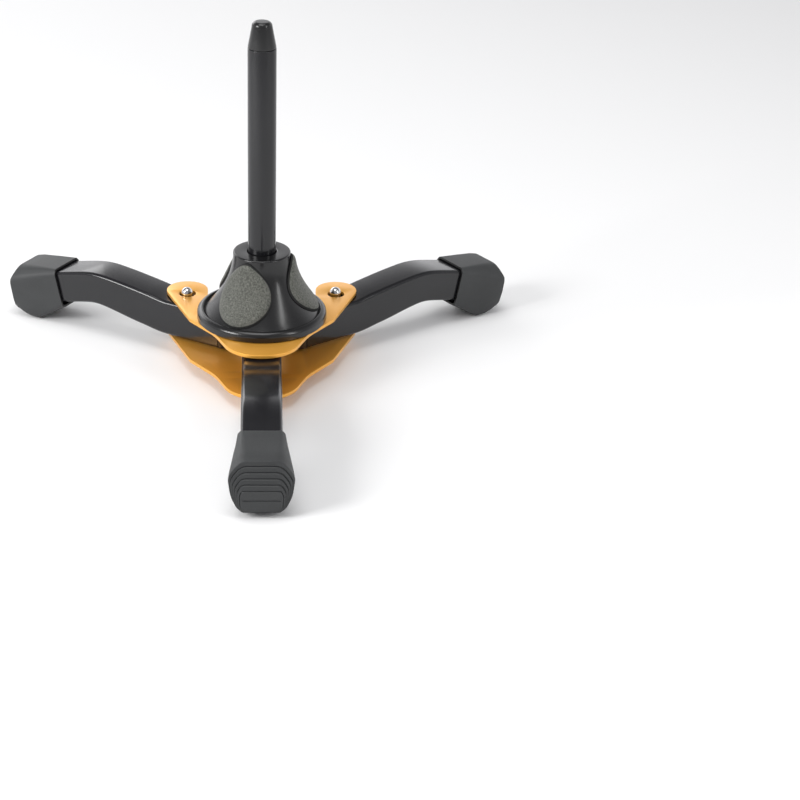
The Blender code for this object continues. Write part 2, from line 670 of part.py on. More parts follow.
def centre_bolt(parent):
    """The bolt that clamps plates, spacer and cone to the peg, with its washer and spacer."""
    washer_top = LOWER_PLATE_BOTTOM - GAP
    head_top = washer_top - BOLT_WASHER - GAP
    head = [(0.0, head_top), (BOLT_HEAD_RADIUS, head_top), (BOLT_HEAD_RADIUS, head_top - BOLT_HEAD)]
    head.append((0.0, head_top - BOLT_HEAD))
    bolt_top = SOCKET_FLOOR + INSERT_LENGTH - 2.0
    shank = [(0.0, bolt_top), (BOLT_RADIUS, bolt_top), (BOLT_RADIUS, head_top - BOLT_HEAD / 2)]
    shank.append((0.0, head_top - BOLT_HEAD / 2))
    bolt = turned("centre_bolt", head, ZINC, parent, 6)
    screw = turned("centre_bolt_shank", shank, None, parent, SMALL_ROUND)
    boolean(bolt, "UNION", screw)
    hole = BOLT_RADIUS + GAP
    ring("centre_washer", hole, BOLT_WASHER_RADIUS, washer_top - BOLT_WASHER, washer_top, ZINC, parent)
    low, high = LOWER_PLATE_TOP + GAP, UPPER_PLATE_BOTTOM - GAP
    ring("spacer_sleeve", hole, SPACER_RADIUS, low, high, ZINC, parent)


def folding_leg(side, sign, parent):
    x, y = pivot_point(sign)
    heading = LEG_ANGLE if sign > 0 else 180 - LEG_ANGLE
    turn = Matrix.Translation((x * MM, y * MM, 0.0)) @ rotation(heading + LEG_PLAY)
    pivot = empty(f"{side}_leg_pivot", turn, parent)
    holes = [
        (PIVOT_REACH, RIVET_RADIUS + GAP, LEG_BOTTOM - 2, LEG_TOP + 2),
        (BUTTON_REACH, BUTTON_RADIUS + GAP, LEG_MIDDLE, LEG_TOP + 4),
    ]
    leg_tube(f"{side}_leg_tube", REAR_TUBE_START, PIVOT_REACH, holes, pivot)
    leg_plug(f"{side}_leg_plug", REAR_TUBE_START, REAR_NOSE, PIVOT_REACH, PIVOT_REACH, pivot)
    boot(f"{side}_boot", PIVOT_REACH, pivot)
    snap_button(side, pivot)
    rivet(f"{side}_pivot_rivet", parent, at=(x, y))
    rivet_washers(f"{side}_pivot", parent, at=(x, y))


def front_leg(parent):
    inner_reach, outer_reach = FRONT_RIVETS
    root = empty("front_leg_root", Matrix.Translation((0.0, -inner_reach * MM, 0.0)) @ rotation(-90), parent)
    holes = [(reach, RIVET_RADIUS + GAP, LEG_BOTTOM - 2, LEG_TOP + 2) for reach in FRONT_RIVETS]
    leg_tube("front_leg_tube", FRONT_TUBE_START, inner_reach, holes, root)
    leg_plug("front_leg_plug", FRONT_TUBE_START, FRONT_NOSE, inner_reach, inner_reach, root)
    boot("front_boot", inner_reach, root)
    for place_name, reach in (("inner", inner_reach), ("outer", outer_reach)):
        rivet(f"front_{place_name}_rivet", parent, at=(0.0, -reach))
        rivet_washers(f"front_{place_name}", parent, at=(0.0, -reach))


def footprint_middle():
    """The middle of the stand's footprint from the peg, in plan; the origin lies under it."""
    points = [(y, -x) for section in BOOT_MEASURES for x, y, z in boot_section(section, 0.0)]
    for sign, heading in ((1, LEG_ANGLE), (-1, 180 - LEG_ANGLE)):
        pivot = Vector(pivot_point(sign))
        turn = Matrix.Rotation(math.radians(heading + LEG_PLAY), 2)
        for section in BOOT_MEASURES:
            points += [tuple(pivot + turn @ Vector((x, y))) for x, y, z in boot_section(section, PIVOT_REACH)]
    xs, ys = zip(*points)
    return (min(xs) + max(xs)) / 2, (min(ys) + max(ys)) / 2


def build():
    x, y = footprint_middle()
    axis = empty("peg_axis", Matrix.Translation((-x * MM, -y * MM, 0.0)))
    plate("lower_plate", LOWER_PLATE_TOP, False, axis)
    plate("upper_plate", UPPER_PLATE_TOP, True, axis)
    front_leg(axis)
    folding_leg("left", -1, axis)
    folding_leg("right", 1, axis)
    centre_bolt(axis)
    bell_cone(axis)
    for name, angle in zip(("front_pad", "right_pad", "back_pad"), PAD_ANGLES):
        pad(name, angle, axis)
    peg(axis)


build()
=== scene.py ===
import json
import math

import bmesh
import bpy
from mathutils import Matrix, Vector


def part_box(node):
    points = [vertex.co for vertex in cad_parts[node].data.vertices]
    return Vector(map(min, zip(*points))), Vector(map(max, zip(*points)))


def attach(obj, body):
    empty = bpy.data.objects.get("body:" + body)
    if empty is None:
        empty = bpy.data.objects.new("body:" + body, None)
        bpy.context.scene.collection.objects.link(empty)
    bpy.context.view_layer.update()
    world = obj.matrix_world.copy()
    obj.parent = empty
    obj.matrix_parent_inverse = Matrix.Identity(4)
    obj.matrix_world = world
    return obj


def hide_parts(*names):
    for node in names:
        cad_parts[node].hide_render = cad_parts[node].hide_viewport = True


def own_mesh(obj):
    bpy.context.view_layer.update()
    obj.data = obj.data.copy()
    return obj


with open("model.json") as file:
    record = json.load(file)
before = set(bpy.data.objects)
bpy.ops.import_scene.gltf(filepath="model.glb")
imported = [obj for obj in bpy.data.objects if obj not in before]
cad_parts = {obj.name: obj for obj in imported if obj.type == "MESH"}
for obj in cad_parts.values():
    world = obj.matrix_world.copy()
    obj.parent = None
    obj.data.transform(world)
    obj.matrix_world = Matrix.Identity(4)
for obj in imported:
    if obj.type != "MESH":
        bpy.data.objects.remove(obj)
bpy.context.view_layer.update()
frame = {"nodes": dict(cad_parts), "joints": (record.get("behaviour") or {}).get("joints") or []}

# Studio -----------------------------------------------------------------------
# A plain pale floor under a sky that is bright low down behind the stand and dark
# overhead, so that level metal stays dark and falling metal shines, and soft boxes.

mm = 0.001
floor_size, paper_tone, paper_roughness = 8.0, 0.86, 0.9
# The sky's brightness behind the stand by height, from level to nearly overhead, and
# its top; it's a little blue. In front of the stand it is even and darker.
sky_levels = ((0.0, 1.5), (0.16, 1.35), (0.36, 1.1), (0.55, 0.5), (0.85, 0.14))
sky_top, sky_front, sky_blue = (0.12, 0.12, 0.123, 1.0), (0.42, 0.42, 0.43, 1.0), 1.02
front_until, behind_from = -0.35, 0.45

bpy.ops.mesh.primitive_plane_add(size=floor_size)
floor = bpy.context.object
floor.name = "studio_floor"
paper = bpy.data.materials.new("studio_paper")
paper.use_nodes = True
paper_shader = paper.node_tree.nodes["Principled BSDF"]
paper_shader.inputs["Base Color"].default_value = (paper_tone, paper_tone, paper_tone, 1.0)
paper_shader.inputs["Roughness"].default_value = paper_roughness
floor.data.materials.append(paper)

sky = bpy.data.worlds.new("studio_sky")
sky.use_nodes = True
nodes, links = sky.node_tree.nodes, sky.node_tree.links
direction = nodes.new("ShaderNodeTexCoord")
parts = nodes.new("ShaderNodeSeparateXYZ")
links.new(direction.outputs["Generated"], parts.inputs[0])
behind = nodes.new("ShaderNodeValToRGB")
for position, level in sky_levels:
    stops = behind.color_ramp.elements
    stop = stops.new(position) if position > 0.0 else stops[0]
    stop.position, stop.color = position, (level, level, level * sky_blue, 1.0)
behind.color_ramp.elements[-1].color = sky_top
links.new(parts.outputs["Z"], behind.inputs["Fac"])
facing = nodes.new("ShaderNodeMapRange")
facing.inputs["From Min"].default_value = front_until
facing.inputs["From Max"].default_value = behind_from
links.new(parts.outputs["Y"], facing.inputs["Value"])
whole = nodes.new("ShaderNodeMix")
whole.data_type = "RGBA"
whole.inputs[6].default_value = sky_front
links.new(facing.outputs["Result"], whole.inputs[0])
links.new(behind.outputs["Color"], whole.inputs[7])
links.new(whole.outputs[2], nodes["Background"].inputs["Color"])
bpy.context.scene.world = sky


def centre_of(node):
    """The point on the floor under the middle of a CAD node."""
    low, high = (Vector(corner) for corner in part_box(node))
    return Vector(((low.x + high.x) / 2, (low.y + high.y) / 2, 0.0))


# The lights look at the cone, and the camera is placed from the peg's foot.
peg_foot = centre_of("peg_tube")
look_at = peg_foot + Vector((0.0, 0.0, 0.06))

# Each soft box: name, place, width, length and power.
soft_boxes = (
    ("box_overhead", (-0.1, -0.15, 1.6), 1.0, 1.0, 11.0),
    ("box_back_left", (-0.62, 1.15, 0.62), 0.95, 0.5, 3.0),
    ("strip_right", (1.0, -0.66, 0.75), 0.12, 1.0, 4.5),
    ("box_left", (-1.05, -0.6, 0.75), 0.55, 0.55, 14.0),
)
for name, place, width, length, power in soft_boxes:
    lamp = bpy.data.lights.new(name, "AREA")
    lamp.shape = "RECTANGLE"
    lamp.size, lamp.size_y = width, length
    lamp.energy = power
    holder = bpy.data.objects.new(name, lamp)
    bpy.context.scene.collection.objects.link(holder)
    holder.location = place
    holder.rotation_euler = (look_at - Vector(place)).to_track_quat("-Z", "Y").to_euler()

camera_from_peg = Vector((0.45, -1186.7, 586.1)) * mm
yaw, pitch, roll = (math.radians(angle) for angle in (3.874, -26.911, 1.818))

camera = bpy.data.objects.new("camera", bpy.data.cameras.new("camera"))
bpy.context.scene.collection.objects.link(camera)
camera.data.lens = 102.5
camera.data.sensor_width = 36.0
camera.data.clip_end = 20.0
ahead = Vector((math.sin(yaw), math.cos(yaw), 0.0)) * math.cos(pitch)
ahead.z = math.sin(pitch)
level = Vector((math.cos(yaw), -math.sin(yaw), 0.0))
above = level.cross(ahead)
across = level * math.cos(roll) + above * math.sin(roll)
upward = above * math.cos(roll) - level * math.sin(roll)
turn = Matrix((across, upward, -ahead)).transposed()
camera.matrix_world = Matrix.Translation(peg_foot + camera_from_peg) @ turn.to_4x4()
bpy.context.scene.camera = camera
bpy.context.scene.view_settings.view_transform = "Standard"


# Tools ------------------------------------------------------------------------
# How finishes and pieces are made.


class Value:
    """A shader socket that takes part in Python arithmetic."""

    def __init__(self, finish, socket):
        self.finish, self.socket = finish, socket

    def maths(self, operation, first, second):
        return self.finish.node("Math", {"operation": operation}, {0: first, 1: second})

    def __add__(self, other):
        return self.maths("ADD", self, other)

    def __sub__(self, other):
        return self.maths("SUBTRACT", self, other)

    def __mul__(self, other):
        return self.maths("MULTIPLY", self, other)


object_place = 3  # the Object output of the Texture Coordinate node


class Finish:
    """A material under construction: one shader and the nodes that vary it."""

    def __init__(self, name, **sockets):
        self.material = bpy.data.materials.new(name)
        self.material.use_nodes = True
        self.tree = self.material.node_tree
        self.shader = self.tree.nodes["Principled BSDF"]
        self.set(**sockets)

    def feed(self, socket, value):
        if isinstance(value, Value):
            self.tree.links.new(value.socket, socket)
        elif isinstance(value, tuple) and len(value) == 3 and socket.type == "RGBA":
            socket.default_value = (*value, 1.0)
        else:
            socket.default_value = value

    def set(self, **sockets):
        for name, value in sockets.items():
            self.feed(self.shader.inputs[name.replace("_", " ")], value)

    def node(self, kind, settings=None, sockets=None, output=0):
        made = self.tree.nodes.new("ShaderNode" + kind)
        for name, value in (settings or {}).items():
            setattr(made, name, value)
        for name, value in (sockets or {}).items():
            self.feed(made.inputs[name], value)
        return Value(self, made.outputs[output])

    def noise(self, scale, detail=3.0, stretch=None):
        """Noise that sits on the object; a scale is in bumps to the metre."""
        place = self.node("TexCoord", output=object_place)
        if stretch:
            place = self.node("Mapping", None, {"Vector": place, "Scale": stretch})
        return self.node("TexNoise", None, {"Vector": place, "Scale": scale, "Detail": detail})

    def between(self, value, low, high, from_low=0.3, from_high=0.7):
        """Spreads the middle of a noise over a range."""
        sockets = {"From Min": from_low, "From Max": from_high, "To Min": low, "To Max": high}
        return self.node("MapRange", None, {"Value": value, **sockets})

    def mix(self, share, first, second):
        """A blend of two colours."""
        return self.node("Mix", {"data_type": "RGBA"}, {0: share, 6: first, 7: second}, output=2)

    def mottle(self, scale, detail, first, second):
        """A colour that wanders between two."""
        return self.mix(self.between(self.noise(scale, detail), 0.0, 1.0), first, second)

    def bump(self, height, depth, strength=1.0):
        sockets = {"Height": height, "Distance": depth, "Strength": strength}
        self.set(Normal=self.node("Bump", None, sockets))


def copy_of(node):
    """The CAD node's mesh, with its loose triangles merged and its flat faces whole."""
    bm = bmesh.new()
    bm.from_mesh(frame["nodes"][node].data)
    bmesh.ops.transform(bm, matrix=frame["nodes"][node].matrix_world, verts=bm.verts)
    bmesh.ops.remove_doubles(bm, verts=bm.verts, dist=0.01 * mm)
    bmesh.ops.dissolve_limit(bm, angle_limit=math.radians(1.0), verts=bm.verts, edges=bm.edges)
    return bm


def round_over(bm, width, segments=3, sharper_than=50.0, where=lambda edge: True):
    """Rounds every edge that is sharper than an angle."""
    limit = math.radians(sharper_than)
    edges = [e for e in bm.edges if e.is_manifold and e.calc_face_angle(0.0) > limit and where(e)]
    bmesh.ops.bevel(
        bm, geom=edges, offset=width * mm, offset_type="OFFSET", segments=segments, profile=0.5,
        affect="EDGES", clamp_overlap=True, material=-1,
    )


def finished(name, bm, finishes, body, node, crease=35.0):
    """Makes a piece of a finished mesh; it rides on its body and stands for its CAD node."""
    mesh = bpy.data.meshes.new(name)
    bm.to_mesh(mesh)
    bm.free()
    for finish in finishes:
        mesh.materials.append(finish.material)
    mesh.shade_smooth()
    mesh.set_sharp_from_angle(angle=math.radians(crease))
    piece = bpy.data.objects.new(name, mesh)
    bpy.context.scene.collection.objects.link(piece)
    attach(piece, body)
    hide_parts(node)
    return piece


def refinish(node, finish):
    """Gives a CAD node that stays as it is its own finish."""
    mesh = frame["nodes"][node].data
    mesh.materials.clear()
    mesh.materials.append(finish.material)


def turned(profile, centre, steps):
    """Spins a profile, in radius and height, about an upright line."""
    bm = bmesh.new()
    verts = [bm.verts.new((centre.x + r * mm, centre.y, z * mm)) for r, z in profile]
    for first, second in zip(verts, verts[1:]):
        bm.edges.new((first, second))
    bmesh.ops.spin(
        bm, geom=bm.verts[:] + bm.edges[:], cent=centre, axis=(0.0, 0.0, 1.0), dvec=(0.0, 0.0, 0.0),
        angle=2 * math.pi, steps=steps, use_merge=True, use_duplicate=False,
    )
    bmesh.ops.remove_doubles(bm, verts=bm.verts, dist=0.002 * mm)
    bmesh.ops.recalc_face_normals(bm, faces=bm.faces)
    return bm


def bow(middle, radius, start, end, steps):
    """Points of an arc in profile, from one angle in degrees to another."""
    turns = [math.radians(start + (end - start) * i / steps) for i in range(steps + 1)]
    return [(middle[0] + radius * math.cos(t), middle[1] + radius * math.sin(t)) for t in turns]


# Plates -----------------------------------------------------------------------
# Two pressings from one blank clamp the legs between them. They are 2 mm steel,
# blanked, tumbled so that the edges turn bright, and plated a warm gold.

gold = Finish("gold_plating", Metallic=0.5, Coat_Weight=0.2, Coat_Roughness=0.1)
brushed = gold.noise(900.0, 3.0, stretch=(0.12, 2.2, 1.0))
smears = gold.noise(60.0)
gold.set(
    Base_Color=gold.mottle(22.0, 3.0, (0.84, 0.40, 0.055), (0.90, 0.45, 0.075)),
    Roughness=gold.between(brushed, 0.30, 0.36) + gold.between(smears, -0.015, 0.015),
)
gold.bump(brushed, 0.004 * mm, 0.3)

plate_edge = 0.5
for node in ("lower_plate", "upper_plate"):
    blank = copy_of(node)
    round_over(blank, plate_edge)
    finished(f"{node}_pressing", blank, [gold], "root", node)


# Leg tubes --------------------------------------------------------------------
# Rectangular steel tube, 22 mm wide with a 1.5 mm wall, bent to a goose-neck and
# powder coated black. They differ only in where they start and in their holes.

tube_width, tube_height, tube_corner, tube_wall = 22.0, 21.2, 2.2, 1.5
pressed_height = 19.4  # beyond the first bends
tube_bottom = 12.0
tube_middle = tube_bottom + tube_height / 2
tube_starts, tube_end = {"front": 11.5, "left": 25.8, "right": 25.8}, 158.0
level_end, bend_step = 61.0, 2.5
# The goose-neck: distance from the peg, rise of the centreline and its slope.
neck = (
    (level_end, 0.0, 0.0), (78.0, 2.4, 0.14), (100.0, 5.9, 0.135),
    (111.0, 6.9, 0.0), (124.0, 5.0, -0.235), (165.0, -5.4, -0.27),
)
pivot_reach, button_reach = 30.5, 53.4
front_rivet_reaches = (17.0, 29.0)
rivet_hole, button_hole = 2.8, 3.7
through_depth, top_wall_depth = 40.0, 12.0
# Both folding legs stand turned a little the same way, by the play of their buttons.
headings = {"left": 148.7, "right": 34.1}

joints = {joint["name"]: joint for joint in frame["joints"]}
leg_places = {"front": Matrix.Translation(peg_foot) @ Matrix.Rotation(math.radians(-90.0), 4, "Z")}
for side, heading in headings.items():
    pivot = Vector(joints[f"{side}_leg_fold"]["pos_m"]) * Vector((1.0, 1.0, 0.0))
    leg_places[side] = (
        Matrix.Translation(pivot) @ Matrix.Rotation(math.radians(heading), 4, "Z")
        @ Matrix.Translation((-pivot_reach * mm, 0.0, 0.0))
    )
leg_bodies = {"front": "root", "left": "left_leg", "right": "right_leg"}
# Each hole: distance from the peg, radius and whether it goes right through.
folding_holes = ((pivot_reach, rivet_hole, True), (button_reach, button_hole, False))
front_holes = tuple((reach, rivet_hole, True) for reach in front_rivet_reaches)
tube_holes = {"front": front_holes, "left": folding_holes, "right": folding_holes}


def neck_at(reach):
    """Rise and slope of the goose-neck at a distance from the peg, both in millimetres."""
    if reach <= level_end:
        return 0.0, 0.0
    for (x0, z0, m0), (x1, z1, m1) in zip(neck, neck[1:]):
        if reach <= x1:
            break
    span = x1 - x0
    t = (reach - x0) / span
    rise = z0 * (2 * t**3 - 3 * t**2 + 1) + z1 * (3 * t**2 - 2 * t**3)
    rise += span * (m0 * (t**3 - 2 * t**2 + t) + m1 * (t**3 - t**2))
    slope = (z1 - z0) / span * (6 * t - 6 * t**2)
    slope += m0 * (3 * t**2 - 4 * t + 1) + m1 * (3 * t**2 - 2 * t)
    return rise, slope


def straight_tube(start, end):
    """A rounded box section from one distance to another, cut across for bending."""
    bm = bmesh.new()
    bmesh.ops.create_grid(bm, x_segments=1, y_segments=1, size=0.5)
    bmesh.ops.scale(bm, vec=Vector((tube_height, tube_width, 1.0)) * mm, verts=bm.verts)
    bmesh.ops.bevel(
        bm, geom=bm.verts[:], offset=tube_corner * mm, offset_type="OFFSET", segments=6,
        profile=0.5, affect="VERTICES", material=-1,
    )
    bmesh.ops.rotate(bm, matrix=Matrix.Rotation(math.radians(-90.0), 3, "Y"), verts=bm.verts)
    bmesh.ops.translate(bm, vec=(start * mm, 0.0, tube_middle * mm), verts=bm.verts)
    made = bmesh.ops.extrude_face_region(bm, geom=bm.faces[:])["geom"]
    moved = [v for v in made if isinstance(v, bmesh.types.BMVert)]
    bmesh.ops.translate(bm, vec=((end - start) * mm, 0.0, 0.0), verts=moved)
    ends = [f for f in bm.faces if abs(f.normal.x) > 0.9 or len(f.verts) > 4]
    bmesh.ops.delete(bm, geom=ends, context="FACES_ONLY")
    reach = max(start, level_end) + 0.01
    while reach < end:
        bmesh.ops.bisect_plane(
            bm, geom=bm.verts[:] + bm.edges[:] + bm.faces[:], dist=1e-7,
            plane_co=(reach * mm, 0.0, 0.0), plane_no=(1.0, 0.0, 0.0),
        )
        reach += bend_step
    return bm


def bend(bm):
    """Bends a straight tube to the goose-neck, and presses it lower along its bends."""
    press_start, press_end = neck[1][0], neck[3][0]
    for vert in bm.verts:
        reach, y, z = vert.co / mm
        rise, slope = neck_at(reach)
        t = min(max((reach - press_start) / (press_end - press_start), 0.0), 1.0)
        pressed = 1 - (1 - pressed_height / tube_height) * t * t * (3 - 2 * t)
        up = Vector((-slope, 0.0, 1.0)).normalized() * (z - tube_middle) * pressed
        vert.co = (Vector((reach, y, tube_middle + rise)) + up) * mm


def drill(piece, place, holes):
    """Drills round holes down into a piece."""
    for reach, radius, through in holes:
        drill_bit = bmesh.new()
        bmesh.ops.create_cone(
            drill_bit, segments=40, radius1=radius * mm, radius2=radius * mm,
            depth=(through_depth if through else top_wall_depth) * mm, cap_ends=True, cap_tris=False,
        )
        lift = tube_middle if through else tube_bottom + tube_height
        bmesh.ops.translate(drill_bit, vec=(reach * mm, 0.0, lift * mm), verts=drill_bit.verts)
        bmesh.ops.transform(drill_bit, matrix=place, verts=drill_bit.verts)
        mesh = bpy.data.meshes.new("drill")
        drill_bit.to_mesh(mesh)
        drill_bit.free()
        tool = bpy.data.objects.new("drill", mesh)
        bpy.context.scene.collection.objects.link(tool)
        cut = piece.modifiers.new("drill", "BOOLEAN")
        cut.operation, cut.solver, cut.object = "DIFFERENCE", "EXACT", tool
        bpy.context.view_layer.update()
        graph = bpy.context.evaluated_depsgraph_get()
        drilled = bpy.data.meshes.new_from_object(piece.evaluated_get(graph))
        piece.modifiers.remove(cut)
        piece.data = drilled
        bpy.data.objects.remove(tool, do_unlink=True)
    piece.data.shade_smooth()
    piece.data.set_sharp_from_angle(angle=math.radians(35.0))


powder = Finish("black_powder_coat", IOR=1.45, Coat_Weight=0.2, Coat_Roughness=0.1)
peel = powder.noise(1500.0, 2.0)
cloud = powder.noise(22.0, 3.0)
powder.set(
    Base_Color=powder.mottle(22.0, 3.0, (0.007, 0.007, 0.0085), (0.011, 0.011, 0.013)),
    Roughness=powder.between(cloud, 0.20, 0.26) + powder.between(peel, -0.015, 0.015),
)
powder.bump(peel, 0.012 * mm, 0.3)

for side, place in leg_places.items():
    tube = straight_tube(tube_starts[side], tube_end)
    bend(tube)
    bmesh.ops.recalc_face_normals(tube, faces=tube.faces)
    bmesh.ops.solidify(tube, geom=tube.faces[:], thickness=tube_wall * mm)
    bmesh.ops.recalc_face_normals(tube, faces=tube.faces)
    bmesh.ops.transform(tube, matrix=place, verts=tube.verts)
    name, node = f"{side}_goose_neck_tube", f"{side}_leg_tube"
    piece = finished(name, tube, [powder], leg_bodies[side], node)
    drill(piece, place, tube_holes[side])


# Tube plugs -------------------------------------------------------------------
# Moulded black polyamide, pushed into the inner end of each tube. The rivet goes
# through the block inside, and the nose stands out as a rounded end.

nylon = Finish("black_moulded_nylon")
grain = nylon.noise(1300.0, 3.0)
nylon.set(
    Base_Color=nylon.mottle(60.0, 3.0, (0.006, 0.006, 0.0065), (0.010, 0.010, 0.0105)),
    Roughness=nylon.between(grain, 0.38, 0.5),
)
nylon.bump(grain, 0.03 * mm, 0.4)

for side in leg_places:
    node = f"{side}_leg_plug"
    plug = copy_of(node)
    round_over(plug, 0.5, 3, 60.0)
    finished(f"{side}_end_plug", plug, [nylon], leg_bodies[side], node)


# Boots ------------------------------------------------------------------------
# Soft moulded rubber, stretched over the tube's outer end. The long faces widen to
# the toe, which is stepped like five stacked plates, and the sole is flat.

# Each ring: reach and height of its top, reach and height of its bottom; half-widths at
# the top, the ridge of its sides and the bottom; how far the ridge lies below the top
# and beyond it; and the corner radius. The steps lie between the last two.
boot_rings = (
    (139.6, 35.6, 134.0, 12.0, 10.7, 12.6, 12.4, 2.4, 0.0, 1.4),
    (147.0, 34.8, 147.5, 3.4, 10.7, 13.7, 12.4, 3.6, 0.0, 1.8),
    (152.5, 34.2, 152.8, 0.0, 10.7, 14.8, 12.4, 4.6, 0.3, 2.2),
    (158.0, 33.5, 158.5, 0.0, 10.7, 15.9, 12.4, 5.7, 0.9, 2.4),
    (162.6, 33.0, 163.0, 1.2, 10.7, 16.9, 12.2, 6.7, 1.6, 2.6),
    (166.0, 32.1, 166.4, 3.0, 10.7, 17.6, 12.0, 7.5, 2.2, 2.8),
    (172.0, 17.4, 170.2, 4.2, 10.2, 11.4, 10.4, 3.4, 0.2, 1.4),
)
flank_height, flank_width = 0.42, 0.72
corner_segments, corner_share = 6, 0.38
# Each step: share of its pitch, and how far it stands before or behind the toe's slope.
toe_step = ((0.0, 0.25), (0.10, 0.62), (0.30, 0.55), (0.86, 0.10), (0.93, -0.35), (0.98, -0.55))
step_count, first_edge = 5, 0.3
# The toe's end: two more rings, each with its share of the toe and its offset.
toe_end, toe_inset = ((1.0, -0.4), (1.03, -0.2)), 1.3
lip_width, pocket_length, pocket_fall = 1.1, 22.0, 5.7
score_height, score_half, score_depth = 11.4, 0.4, 0.45

rubber = Finish("grey_rubber_boot")
pores = rubber.noise(2100.0, 3.0)
rubber.set(
    Base_Color=rubber.mottle(38.0, 5.0, (0.024, 0.0255, 0.0265), (0.035, 0.037, 0.038)),
    Roughness=rubber.between(pores, 0.46, 0.60),
)
rubber.bump(pores, 0.05 * mm, 0.45)

# The lip of the mouth is smoother; the lip and the pocket are painted near black as painted shade.
painted_shade_lip = Finish("rubber_lip_painted_shade", Roughness=0.5)
painted_shade_lip.set(Base_Color=painted_shade_lip.mottle(600.0, 3.0, (0.005, 0.005, 0.005), (0.009, 0.009, 0.009)))


def boot_ring(ring, offset=0.0):
    """The points round one ring, its eight corners rounded, moved outwards by an offset."""
    top_reach, top_z, bottom_reach, bottom_z = ring[:4]
    top_half, ridge_half, bottom_half, drop, out, radius = ring[4:]
    ridge_z = top_z - drop
    flank = (
        bottom_half + (ridge_half - bottom_half) * flank_width,
        bottom_z + (ridge_z - bottom_z) * flank_height,
    )
    half = [(bottom_half, bottom_z), flank, (ridge_half, ridge_z), (top_half, top_z)]
    corners = [Vector(corner) for corner in half + [(-y, z) for y, z in reversed(half)]]
    points = []
    for i, corner in enumerate(corners):
        before, after = corners[i - 1] - corner, corners[(i + 1) % 8] - corner
        soft = corner_share * min(before.length, after.length)
        cut = max(radius / math.tan(before.angle(after) / 2), soft)
        before.normalize()
        after.normalize()
        for k in range(corner_segments + 1):
            t = k / corner_segments
            point = corner + before * cut * (1 - t) ** 2 + after * cut * t**2
            share = (point.y - bottom_z) / (top_z - bottom_z)
            below, over = (point.y - bottom_z) / (ridge_z - bottom_z), (top_z - point.y) / drop
            bulge = out * min(below, over, 1.0)
            reach = bottom_reach + (top_reach - bottom_reach) * share + bulge + offset
            points.append(Vector((reach, point.x, point.y)))
    return points


def toe_ring(share, offset):
    """A ring at a share of the toe, from the widest ring to the toe's end."""
    start, end = boot_rings[-2:]
    return boot_ring([a + (b - a) * share for a, b in zip(start, end)], offset)


rings = [boot_ring(ring) for ring in boot_rings[:-1]]
for step in range(step_count):
    for past, offset in toe_step:
        if step == 0 and past == 0.0:
            offset *= first_edge
        rings.append(toe_ring((step + past) / step_count, offset))
rings += [toe_ring(share, offset) for share, offset in toe_end]

for side, place in leg_places.items():
    boot = bmesh.new()
    loop = [boot.verts.new(point * mm) for point in rings[0]]
    edges = [boot.edges.new((loop[i - 1], loop[i])) for i in range(len(loop))]
    mouth = boot.faces.new(loop)
    for ring in rings[1:]:
        made = bmesh.ops.extrude_edge_only(boot, edges=edges)["geom"]
        new = {v for v in made if isinstance(v, bmesh.types.BMVert)}
        edges = [e for e in made if isinstance(e, bmesh.types.BMEdge) and set(e.verts) <= new]
        loop = [next(e.other_vert(v) for e in v.link_edges if e.other_vert(v) in new) for v in loop]
        for vert, point in zip(loop, ring):
            vert.co = point * mm
    toe = boot.faces.new(loop)
    bmesh.ops.recalc_face_normals(boot, faces=boot.faces)
    # The toe's end carries one faint scored line.
    bmesh.ops.inset_region(boot, faces=[toe], thickness=toe_inset * mm, use_even_offset=True)
    cut = [toe, *toe.edges, *toe.verts]
    for height in (score_height - score_half, score_height, score_height + score_half):
        made = bmesh.ops.bisect_plane(
            boot, geom=cut, dist=1e-7, plane_co=(0.0, 0.0, height * mm), plane_no=(0.0, 0.0, 1.0),
        )
        cut = made["geom"]
        if height == score_height:
            scored = [v for v in made["geom_cut"] if isinstance(v, bmesh.types.BMVert)]
    bmesh.ops.translate(boot, vec=(-score_depth * mm, 0.0, 0.0), verts=scored)
    # The mouth is a pocket that follows the tube to its end.
    rim = bmesh.ops.inset_region(
        boot, faces=[mouth], thickness=lip_width * mm, use_even_offset=True
    )["faces"]
    (pocket,) = bmesh.ops.extrude_discrete_faces(boot, faces=[mouth])["faces"]
    inwards = Vector((pocket_length, 0.0, -pocket_fall)) * mm
    bmesh.ops.translate(boot, vec=inwards, verts=pocket.verts[:])
    # The lip and the pocket's faces take the near-black painted shade.
    inside = set(rim) | {f for v in pocket.verts for f in v.link_faces}
    for face in inside:
        face.material_index = 1
    bmesh.ops.transform(boot, matrix=place, verts=boot.verts)
    name, looks = f"{side}_rubber_boot", [rubber, painted_shade_lip]
    finished(name, boot, looks, leg_bodies[side], f"{side}_boot", crease=40.0)


# Snap buttons -----------------------------------------------------------------
# A turned, chromed button in each folding leg, on a coil spring in a cup. It
# stands through the upper plate's hole and is pushed down to free the leg.

button_top, button_radius = 40.2, 3.4
collar_radius, collar_top, collar_bottom = 4.6, 31.4, 29.9
stem_radius, stem_bottom = 1.6, 24.4

chrome = Finish("button_chrome", Metallic=1.0)
scuffs = chrome.noise(420.0, 5.0, stretch=(1.0, 6.0, 1.0))
chrome_tone = chrome.between(scuffs, 0.0, 1.0)
chrome.set(
    Base_Color=chrome.mix(chrome_tone, (0.55, 0.55, 0.56), (0.66, 0.66, 0.67)),
    Roughness=chrome.between(scuffs, 0.05, 0.13),
)

zinc = Finish("zinc_plated_steel", Metallic=1.0)
spangle = zinc.noise(240.0, 4.0)
zinc.set(
    Base_Color=zinc.mottle(240.0, 4.0, (0.46, 0.47, 0.50), (0.60, 0.60, 0.62)),
    Roughness=zinc.between(spangle, 0.28, 0.42),
)
zinc.bump(spangle, 0.02 * mm, 0.4)

